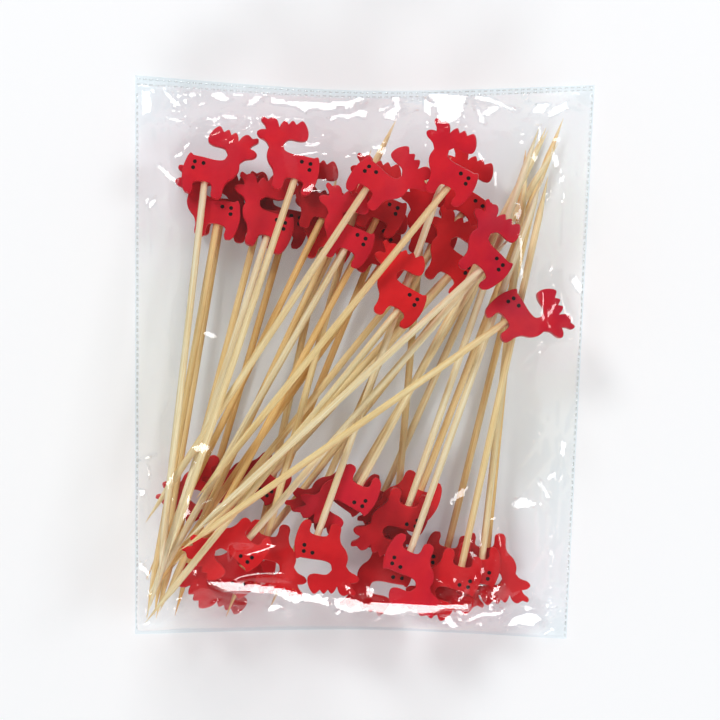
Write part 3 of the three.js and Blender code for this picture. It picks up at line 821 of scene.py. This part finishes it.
# Rays come down from here. Where they find no film, it is taken to lie at the second height.
RAY_START = 100 * MM
MISSED_HEIGHT = 1 * MM
BAG_NODES = ("front_film", "side_and_bottom_seam", "top_seal")


def surface_below(tree, points, floor_height):
    """The height of the first surface under each place in plan."""
    heights = np.full(points.shape[:2], floor_height)
    for i, j in np.ndindex(heights.shape):
        hit = tree.ray_cast(Vector((*points[i, j], RAY_START)), Vector((0, 0, -1)))[0]
        if hit:
            heights[i, j] = hit.z
    return heights


def joined_tree(names):
    corners, faces = [], []
    for name in names:
        mesh = nodes[name].data
        start = len(corners)
        corners += [vertex.co.copy() for vertex in mesh.vertices]
        faces += [[start + index for index in face.vertices] for face in mesh.polygons]
    return BVHTree.FromPolygons(corners, faces)


def spread_highest(heights, reach):
    """Each point takes the highest height within some steps of it."""
    for _ in range(reach):
        for axis in (0, 1):
            beside = np.maximum(np.roll(heights, 1, axis), np.roll(heights, -1, axis))
            heights = np.maximum(heights, beside)
    return heights


across = np.linspace(0, 1, round(bag_width / FILM_PITCH) + 1)
up = np.linspace(0, 1, round(bag_height / FILM_PITCH) + 1)
plan = bag_points(across, up)
pick_nodes = [name for name in nodes if name.startswith(("top_", "bottom_"))]
pick_nodes.remove("top_seal")
pile_top = surface_below(joined_tree(pick_nodes), plan, EDGE_HEIGHT)


def relaxed(start, least, rounds):
    height = start.copy()
    for _ in range(rounds):
        mean = (height[:-2, 1:-1] + height[2:, 1:-1] + height[1:-1, :-2] + height[1:-1, 2:]) / 4
        height[1:-1, 1:-1] = np.maximum(mean, least[1:-1, 1:-1])
    return height


least = spread_highest(pile_top, HELD_STEPS) + FILM_CLEARANCE
start = surface_below(joined_tree(BAG_NODES), plan, MISSED_HEIGHT)
start[0] = start[-1] = EDGE_HEIGHT
start[:, 0] = start[:, -1] = EDGE_HEIGHT
film_height = relaxed(start, least, RELAX_ROUNDS)
print(f"film {film_height.max() / MM:.1f} mm high over a pile of {pile_top.max() / MM:.1f} mm")

# %% [markdown]
# ## Creases
#
# Thin plastic can't stretch, so where it has to bend two ways it breaks into small flat
# facets with sharp ridges between them. Each ridge here is a straight line with a height that
# falls off evenly to both sides, and it ends softly. Most are drawn at random, from a fixed
# seed, in zones that crease differently: the top and bottom, where the film comes down over
# the reindeer to the seals, the loose right side, and the taut middle, which stays almost plain.
# Four long ones beside the side seals are given one by one.

# %% Draw one crease
# How much of a crease's length it takes to fade out, at each end
CREASE_FADE = 0.3


def crease(points, middle, angle, length, half_width, height):
    """The height that one straight ridge adds at each point."""
    away = (points - middle) / MM
    along = away @ np.array((math.cos(angle), math.sin(angle)))
    aside = away @ np.array((-math.sin(angle), math.cos(angle)))
    ridge = np.clip(1 - np.abs(aside) / half_width, 0, 1)
    ends = np.clip((length / 2 - np.abs(along)) / (CREASE_FADE * length), 0, 1)
    return height * MM * ridge * ends


# %% Crease the film
CREASE_SEED = 7
# Each zone: its box in millimetres, the number of creases, their mean direction and its spread
# in degrees, and the longest length, half width and height in millimetres.
CREASE_ZONES = {
    "top": ((-58, 56, 57, 71), 130, 5, 45, 15, 1.9, 1.0),
    "bottom": ((-58, 56, -72, -61), 80, -4, 30, 16, 1.9, 0.8),
    "lower right corner": ((22, 56, -72, -58), 60, 20, 50, 10, 1.5, 1.0),
    "right": ((44, 58, -58, 64), 90, 88, 25, 22, 2.2, 0.6),
    "left": ((-59, -50, -60, 60), 50, 90, 25, 18, 1.8, 0.5),
    "middle": ((-48, 40, -58, 58), 60, 70, 90, 14, 2.0, 0.16),
}
# The long creases along both side seals: each one's middle, direction, length, half width and
# height, in millimetres and degrees.
LONG_CREASES = [
    ((51.6, 41.0), 89.5, 62, 0.9, 0.7),
    ((54.9, 44.0), 90.5, 48, 0.8, -0.5),
    ((50.6, -34.0), 87.0, 50, 0.9, 0.5),
    ((-56.4, 6.0), 90.0, 120, 0.9, 0.6),
]
# The smallest crease or shard, as a share of the largest in its zone
SMALLEST = 0.35
# The film creases fully where it hangs this far above the picks, and it can hardly crease
# where it is drawn tight over a board.
SLACK_REACH = 2.5 * MM
LEAST_SLACK = 0.12


def place_in(draw, box):
    return draw.uniform((box[0], box[2]), (box[1], box[3]))


def random_creases(points):
    draw = np.random.default_rng(CREASE_SEED)
    added = np.zeros(points.shape[:2])
    for box, count, mean, spread, length, half_width, height in CREASE_ZONES.values():
        for _ in range(count):
            middle = place_in(draw, box) * MM
            angle = math.radians(draw.normal(mean, spread))
            size = draw.uniform(SMALLEST, 1.0, 3)
            up_or_down = draw.choice((-1, 1))
            added += up_or_down * crease(points, middle, angle, length * size[0],
                                         half_width * size[1], height * size[2])
    return added


slack = np.clip((film_height - least) / SLACK_REACH, LEAST_SLACK, 1)
film_height = film_height + slack * random_creases(plan)
for middle, degrees, *sizes in LONG_CREASES:
    line = crease(plan, np.array(middle) * MM, math.radians(degrees), *sizes)
    film_height = film_height + slack * line
print(f"creased film {film_height.max() / MM:.1f} mm high")

# %% [markdown]
# ## Glints
#
# The largest glints of the photograph are whole facets, each tilted just so that it mirrors a
# lamp. These are listed: the lamp that is mirrored, and outlines in millimetres.

# %% Place the large facets
FACETS_MM = [
    # along the top seal, from left to right
    ("main", [
        [(-58.5, 69.5), (-55.9, 69.4), (-55.4, 63.7), (-58.3, 62.9)],
        [(-53.3, 69.8), (-51.6, 69.5), (-47.3, 65.5), (-49.8, 64.8)],
        [(-55.0, 50.1), (-53.4, 50.3), (-48.4, 46.2), (-49.0, 44.5), (-51.0, 45.8)],
    ]),
    ("top strip", [
        [(-25.2, 68.2), (-21.0, 67.2), (-16.9, 66.6), (-5.2, 66.8), (0.0, 68.6), (0.4, 66.8),
         (-2.4, 66.0), (-3.6, 64.4), (-6.8, 65.3), (-9.0, 63.8), (-13.8, 64.5), (-15.2, 63.0),
         (-18.4, 65.1), (-24.6, 65.8)],
        [(-9.9, 61.8), (-7.6, 63.6), (-4.4, 63.4), (-1.0, 64.6), (1.2, 63.9), (0.2, 61.6),
         (-2.6, 62.4), (-4.6, 61.2), (-6.4, 62.2), (-8.6, 60.8)],
        [(4.6, 61.8), (5.6, 64.2), (7.4, 65.0), (6.6, 68.2), (9.6, 67.8), (8.9, 65.9),
         (10.0, 64.4), (8.6, 63.2), (8.0, 61.2)],
        [(14.6, 68.4), (18.7, 68.2), (26.8, 67.6), (25.8, 64.8), (25.2, 61.7), (20.8, 59.1),
         (17.5, 57.5), (18.5, 62.8), (17.6, 65.6)],
        [(27.8, 68.4), (32.5, 67.8), (40.3, 64.4), (39.8, 63.4), (33.0, 65.9), (28.1, 67.0)],
        [(28.1, 65.5), (29.6, 64.6), (31.0, 62.1), (31.4, 59.5), (29.4, 60.5)],
        [(40.6, 69.0), (42.2, 68.9), (43.2, 66.8), (41.6, 66.6)],
    ]),
    # loose film at the right
    ("right", [
        [(53.0, 20.9), (55.2, 21.3), (57.4, 17.6), (56.0, 16.2), (54.2, 17.8)],
        [(38.2, -37.2), (41.6, -36.0), (45.7, -38.5), (43.0, -39.4), (39.0, -39.8)],
        [(21.3, -37.4), (24.7, -33.9), (27.5, -33.1), (26.3, -35.9), (23.2, -38.1)],
        [(44.8, -31.5), (46.2, -32.5), (48.8, -36.6), (47.4, -37.6)],
    ]),
    # taut film over the skewers and at the left
    ("main", [
        [(-45.7, -23.4), (-42.1, -21.8), (-39.0, -24.0), (-42.1, -25.3)],
        [(-58.8, -34.4), (-57.2, -34.0), (-56.4, -35.8), (-58.4, -36.6)],
    ]),
    # over the reindeer at the bottom, and the fold below them
    ("low strip", [
        [(-42.0, -58.0), (-36.0, -57.6), (-29.9, -58.2), (-24.0, -59.0), (-16.9, -60.6),
         (-9.1, -62.0), (-9.1, -65.0), (-14.0, -63.6), (-18.9, -63.8), (-24.0, -61.4),
         (-29.9, -61.0), (-36.0, -60.6)],
        [(-9.0, -61.6), (-3.0, -62.2), (0.0, -63.2), (9.1, -63.4), (16.9, -64.0),
         (27.3, -63.6), (26.8, -65.8), (21.0, -65.4), (16.9, -67.0), (10.8, -66.2),
         (6.8, -67.2), (0.0, -65.8), (-4.0, -66.6), (-7.8, -65.0)],
        [(-5.7, -58.5), (-3.2, -59.5), (-3.6, -61.0), (-5.2, -60.4)],
        [(0.0, -58.8), (2.7, -59.6), (1.8, -62.8), (0.2, -61.8)],
        [(26.0, -69.8), (26.6, -67.7), (30.4, -66.2), (35.1, -66.1), (35.6, -64.8),
         (36.6, -66.3), (35.1, -67.5), (30.4, -67.8), (27.3, -69.2)],
        [(36.4, -70.8), (38.3, -67.7), (43.0, -66.1), (46.8, -68.3), (44.2, -70.3),
         (40.3, -69.9)],
    ]),
]
large_facets = [(lamp, facet) for lamp, facets in FACETS_MM for facet in facets]
print(f"{len(large_facets)} large facets")


# %% Draw the small shards
def depth_inside(points, corners):
    """How far each point lies inside a closed outline, and below zero how far outside."""
    inside = np.zeros(points.shape[:2], bool)
    nearest = np.full(points.shape[:2], np.inf)
    for start, end in zip(corners, np.roll(corners, -1, 0)):
        side = end - start
        share = np.clip(((points - start) @ side) / (side @ side), 0, 1)
        away = np.linalg.norm(points - start - share[..., None] * side, axis=2)
        nearest = np.minimum(nearest, away)
        crosses = (start[1] > points[..., 1]) != (end[1] > points[..., 1])
        # A level side is never crossed, so what it is divided by doesn't matter.
        at = start[0] + (points[..., 1] - start[1]) / (side[1] or 1) * side[0]
        inside ^= crosses & (points[..., 0] < at)
    return np.where(inside, nearest, -nearest)


# Smaller shards lie between the facets at random, where the film is slack. Each zone: the lamp
# that its shards mirror, its box, their number, their mean direction in degrees, and their
# longest half length in millimetres.
SHARD_SEED = 12
SHARD_SPREAD = 35
SHARD_WIDTHS = (0.25, 0.55)
SHARD_SKEW = 0.7
FREE_SLACK = 0.6
SHARD_ZONES = [
    ("top strip", (-46, 56, 60, 69), 34, 8, 4.4),
    ("main", (-59, -46, 61, 69), 12, -40, 3.0),
    ("low strip", (22, 50, -70, -61), 24, 15, 3.8),
    ("low strip", (-36, 24, -66, -62), 14, -8, 3.4),
    ("right", (48, 57, -40, 62), 18, 86, 3.6),
    ("main", (-59, -55, -58, 58), 10, 90, 3.0),
]


def random_shards():
    """Small four-cornered facets, long one way, each with the slope of its zone's lamp."""
    draw = np.random.default_rng(SHARD_SEED)
    shards = []
    for lamp, box, count, mean, reach in SHARD_ZONES:
        for _ in range(count):
            middle = place_in(draw, box)
            angle = math.radians(draw.normal(mean, SHARD_SPREAD))
            along = np.array((math.cos(angle), math.sin(angle)))
            aside = np.array((-along[1], along[0]))
            half = reach * draw.uniform(SMALLEST, 1.0)
            wide = half * draw.uniform(*SHARD_WIDTHS)
            skew = draw.uniform(-SHARD_SKEW, SHARD_SKEW) * half
            shards.append((lamp, [middle - half * along, middle + skew * along + wide * aside,
                                  middle + half * along, middle - skew * along - wide * aside]))
    return shards


def lies_free(corners_mm):
    """Whether the film is slack all over a facet."""
    inside = depth_inside(plan, np.array(corners_mm) * MM) > 0
    return inside.any() and slack[inside].min() > FREE_SLACK


free_shards = [shard for shard in random_shards() if lies_free(shard[1])]
print(f"{len(free_shards)} shards lie on slack film")

# %% Tilt the facets
FACET_EDGE = 0.3 * MM
TAUT_EDGE = 3 * MM
# Film that is drawn taut over the backs of some reindeer is level, and so it stays clear.
TAUT_MM = [
    [(-20.0, 53.5), (-10.0, 52.5), (-8.0, 45.0), (-17.0, 44.0)],
    [(-34.0, -49.5), (-20.0, -50.0), (-20.0, -57.0), (-34.0, -57.0)],
    [(-45.5, -26.0), (-40.0, -25.0), (-37.0, -37.0), (-43.5, -40.0)],
    [(29.0, -43.0), (35.5, -43.0), (36.0, -50.5), (29.5, -50.0)],
    [(44.5, 18.5), (51.5, 18.0), (53.5, 9.0), (46.0, 9.0)],
]


def with_facet(height, corners_mm, slope, edge=FACET_EDGE):
    """The film with a flat facet of a given slope, laid on what is under it."""
    depth = depth_inside(plan, np.array(corners_mm) * MM)
    tilted = plan @ slope
    held = depth > -edge / 2
    level = max(np.mean((height - tilted)[depth > 0]), np.max((least - tilted)[held]))
    weight = np.clip(depth / edge + 0.5, 0, 1)
    return height * (1 - weight) + (tilted + level) * weight


for corners_mm in TAUT_MM:
    film_height = with_facet(film_height, corners_mm, LEVEL, TAUT_EDGE)
for lamp, corners_mm in free_shards + large_facets:
    slope = mirror_slope(lamp, np.mean(corners_mm, axis=0) * MM)
    film_height = with_facet(film_height, corners_mm, slope)
film_height = np.maximum(np.minimum(film_height, cad_box[1][2]), least)
welded = np.ones(film_height.shape, bool)
welded[BOTTOM_WELD:-TOP_WELD, SIDE_WELD:-SIDE_WELD] = False
film_height = np.where(welded, EDGE_HEIGHT, np.maximum(film_height, EDGE_HEIGHT))
print(f"finished film {film_height.max() / MM:.1f} mm high")

# %% [markdown]
# ## The film's material
#
# Clear film shows hardly any colour of its own. It lets light through with a trace of blue, and
# mirrors more of it the flatter it is seen, which the Fresnel node works out. A glass shader
# would bend and darken what lies behind, as a thick block does, so a transparent shader is
# mixed with a glossy one instead, and the mirror is left out for shadows. Faint ripples
# break up the glints. Where the film is welded to itself it is a little milky.

# %% Make the film's material
FILM_GLOSS_ROUGHNESS = 0.07
FILM_IOR = 1.5
# The mirror is made a little stronger than one face of such film gives.
MIRROR_GAIN = 1.1
MILKY = (0.92, 0.93, 0.94, 1)
# The colours that the film lets through, and how milky it is where it is welded
CLEAR_COLOUR = (0.96, 0.982, 0.99, 1)
WELD_COLOUR = (1.0, 1.0, 1.0, 1)
WELD_HAZE = 0.12


def film_material(name, let_through, haze):
    """Film that lets a colour through, with a share of milky haze."""
    material, tree, surface = new_material(name)
    tree.nodes.remove(surface)
    place = tree.nodes.new("ShaderNodeTexCoord").outputs["Object"]
    normal = bumped(tree, noise(tree, place, 260.0, 3.0, 0.5), 0.18, 0.3 * MM)
    clear = node(tree, "ShaderNodeBsdfTransparent", Color=let_through)
    milky = node(tree, "ShaderNodeBsdfDiffuse", Color=MILKY)
    gloss = node(tree, "ShaderNodeBsdfAnisotropic", Color=(1, 1, 1, 1),
                 Roughness=FILM_GLOSS_ROUGHNESS, Normal=normal)
    mirrored = node(tree, "ShaderNodeFresnel", IOR=FILM_IOR, Normal=normal)
    shadow = tree.nodes.new("ShaderNodeLightPath").outputs["Is Shadow Ray"]
    lit = math_node(tree, "SUBTRACT", 1.0, shadow)
    mirrored = math_node(tree, "MULTIPLY", mirrored, MIRROR_GAIN)
    mirrored = math_node(tree, "MULTIPLY", mirrored, lit, True)
    body = node(tree, "ShaderNodeMixShader", i0=math_node(tree, "MULTIPLY", haze, lit),
                i1=clear, i2=milky)
    fill(tree, tree.nodes["Material Output"],
         Surface=node(tree, "ShaderNodeMixShader", i0=mirrored, i1=body, i2=gloss))
    return material


film = film_material("clear film", CLEAR_COLOUR, 0.0)
welded_film = film_material("welded film", WELD_COLOUR, WELD_HAZE)

# %% [markdown]
# ## The bag
#
# The bag is one closed shell. Its upper sheet is the grid of heights from above, which comes
# down to a flat welded edge. A low wall joins that to a flat back sheet on the table.

# %% Build the bag
BACK_HEIGHT = 0.1 * MM


def pillow_mesh(name, upper):
    """A closed shell: a fine upper sheet, a rim wall, and a flat back sheet filled across."""
    rows, columns = upper.shape
    index = np.arange(rows * columns).reshape(rows, columns)
    a, b = index[:-1, :-1].ravel(), index[:-1, 1:].ravel()
    c, d = index[1:, 1:].ravel(), index[1:, :-1].ravel()
    rim = np.concatenate((index[0, :-1], index[:-1, -1], index[-1, :0:-1], index[:0:-1, 0]))
    top = np.dstack((plan, upper)).reshape(-1, 3)
    low = top[rim] * (1, 1, 0) + (0, 0, BACK_HEIGHT)
    under = np.arange(len(rim)) + len(top)
    walls = np.stack((under, np.roll(under, -1), np.roll(rim, -1), rim), 1)
    faces = np.concatenate((np.stack((a, b, c, d), 1), walls))
    mesh = bpy.data.meshes.new(name)
    mesh.from_pydata(np.concatenate((top, low)).tolist(), [], faces.tolist())
    shape = bmesh.new()
    shape.from_mesh(mesh)
    shape.edges.ensure_lookup_table()
    back = [edge for edge in shape.edges if edge.is_boundary]
    bmesh.ops.triangle_fill(shape, use_beauty=True, edges=back)
    bmesh.ops.recalc_face_normals(shape, faces=shape.faces)
    shape.to_mesh(mesh)
    shape.free()
    return mesh


bag_mesh = pillow_mesh("bag_film", film_height)
shade(bag_mesh, FOLD_ANGLE)
bag_mesh.materials.append(film)
bag = add_object("bag_film", bag_mesh)
finish_piece(bag, "film", "front_film", "back_film", "side_and_bottom_seam", "top_seal")
print(f"bag mesh of {len(bag_mesh.polygons)} faces")

# %% [markdown]
# ## Weld marks
#
# The hot jaws that close the bag leave a row of small raised dashes along both sides, and two
# rows along the top. They repeat along a path, so Geometry Nodes place them: the path is cut
# into even steps, and a low oval bead is turned along it at each.

# %% Build the weld tree
def weld_tree():
    tree, given, out = new_group(
        "weld dashes", "GeometryNodeTree", {"Geometry": SHAPE},
        Path=SHAPE, Spacing=1.6 * MM, Length=1.0 * MM, Width=0.34 * MM, Height=0.1 * MM,
        Material=welded_film)
    path = node(tree, "GeometryNodeMeshToCurve", Mesh=given["Path"])
    steps = node(tree, "GeometryNodeCurveToPoints", {"mode": "LENGTH"}, Curve=path,
                 Length=given["Spacing"])
    turned = node(tree, "FunctionNodeAlignRotationToVector", {"axis": "X", "pivot_axis": "Z"},
                  Vector=steps.outputs["Tangent"])
    bead = node(tree, "GeometryNodeMeshUVSphere", Segments=8, Rings=4, Radius=0.5)
    size = node(tree, "ShaderNodeCombineXYZ", X=given["Length"], Y=given["Width"],
                Z=given["Height"])
    placed = node(tree, "GeometryNodeInstanceOnPoints", Points=steps.outputs["Points"],
                  Instance=bead, Rotation=turned, Scale=size)
    return coated(tree, placed, given["Material"], out)


# %% Press the weld marks along the edges
WELD_STEPS = 60
SIDE_INSET = 1.0 * MM
TOP_INSETS = (0.9 * MM, 2.3 * MM)
# Where the rows of dashes start and end, as shares of an edge
SIDE_ENDS = (0.012, 0.965)
TOP_ENDS = (0.015, 0.985)


def path_mesh(name, points):
    mesh = bpy.data.meshes.new(name)
    mesh.from_pydata([(x, y, EDGE_HEIGHT) for x, y in points],
                     [(i, i + 1) for i in range(len(points) - 1)], [])
    return mesh


def weld_paths():
    along = np.linspace(*SIDE_ENDS, WELD_STEPS)
    side = SIDE_INSET / bag_width
    paths = {
        "left": bag_points([side], along)[:, 0],
        "right": bag_points([1 - side], along)[:, 0],
    }
    across = np.linspace(*TOP_ENDS, WELD_STEPS)
    for number, inset in enumerate(TOP_INSETS, 1):
        paths[f"top_{number}"] = bag_points(across, [1 - inset / bag_height])[0]
    return paths


dashes = weld_tree()
for name, points in weld_paths().items():
    mesh = made_by(dashes, f"weld_{name}", path_mesh(f"weld_path_{name}", points))
    mesh.shade_smooth()
    finish_piece(add_object(f"weld_{name}", mesh), "film")
    print(f"weld {name}: {len(mesh.polygons)} faces")

# %% [markdown]
# ## Floor and light
#
# A plain white table, the four soft lamps that were named at the start, and a sky that fills
# the shadows. The sky is darker straight overhead, because that is what level film mirrors to
# the camera. The table glows faintly where the camera or a mirror sees it, so that it looks
# pale without more light falling on the bag.

# %% Make the floor and the lights
TABLE_COLOUR = (0.86, 0.87, 0.885, 1)
TABLE_GLOW_COLOUR = (0.95, 0.97, 1.0, 1)
TABLE_GLOW = 0.165
TABLE_HALF = 1.2
TABLE_HEIGHT = -0.1 * MM
# The sky's strength overhead and lower down, and the heights of a direction between which it
# changes, where straight up is 1
SKY_STRENGTHS = (0.17, 0.43)
SKY_HEIGHTS = (0.97, 0.7)


def floor_material():
    material, tree, surface = new_material("white table")
    path = tree.nodes.new("ShaderNodeLightPath").outputs
    seen = math_node(tree, "MAXIMUM", path["Is Camera Ray"], path["Is Glossy Ray"])
    seen = math_node(tree, "MAXIMUM", seen, path["Is Transmission Ray"])
    fill(tree, surface, Base_Color=TABLE_COLOUR, Roughness=0.9, Specular_IOR_Level=0.1,
         Emission_Color=TABLE_GLOW_COLOUR,
         Emission_Strength=math_node(tree, "MULTIPLY", seen, TABLE_GLOW))
    return material


def make_floor():
    mesh = bpy.data.meshes.new("table")
    corners = [(x * TABLE_HALF, y * TABLE_HALF, TABLE_HEIGHT)
               for x, y in ((-1, -1), (1, -1), (1, 1), (-1, 1))]
    mesh.from_pydata(corners, [], [(0, 1, 2, 3)])
    mesh.materials.append(floor_material())
    table = add_object("table", mesh)


def light_lamp(name, place, size, power, colour):
    data = bpy.data.lights.new(name, "AREA")
    data.shape = "RECTANGLE"
    data.size, data.size_y = size
    data.energy = power
    data.color = colour
    lamp = add_object(name, data)
    lamp.location = place
    lamp.rotation_euler = (-Vector(place)).to_track_quat("-Z", "Y").to_euler()


def make_sky():
    world = bpy.data.worlds.new("sky")
    world.use_nodes = True
    tree = world.node_tree
    way = node(tree, "ShaderNodeSeparateXYZ",
               Vector=tree.nodes.new("ShaderNodeTexCoord").outputs["Generated"])
    level = node(tree, "ShaderNodeMapRange", {"interpolation_type": "SMOOTHSTEP"},
                 Value=way.outputs["Z"], i1=SKY_HEIGHTS[0], i2=SKY_HEIGHTS[1],
                 i3=SKY_STRENGTHS[0], i4=SKY_STRENGTHS[1])
    fill(tree, tree.nodes["Background"], Color=(1, 1, 1, 1), Strength=level)
    bpy.context.scene.world = world


make_floor()
for name, lamp in LAMPS.items():
    light_lamp(name, *lamp)
make_sky()
bpy.context.scene.view_settings.view_transform = "Standard"
print(f"{len(LAMPS)} lamps lit over the table")
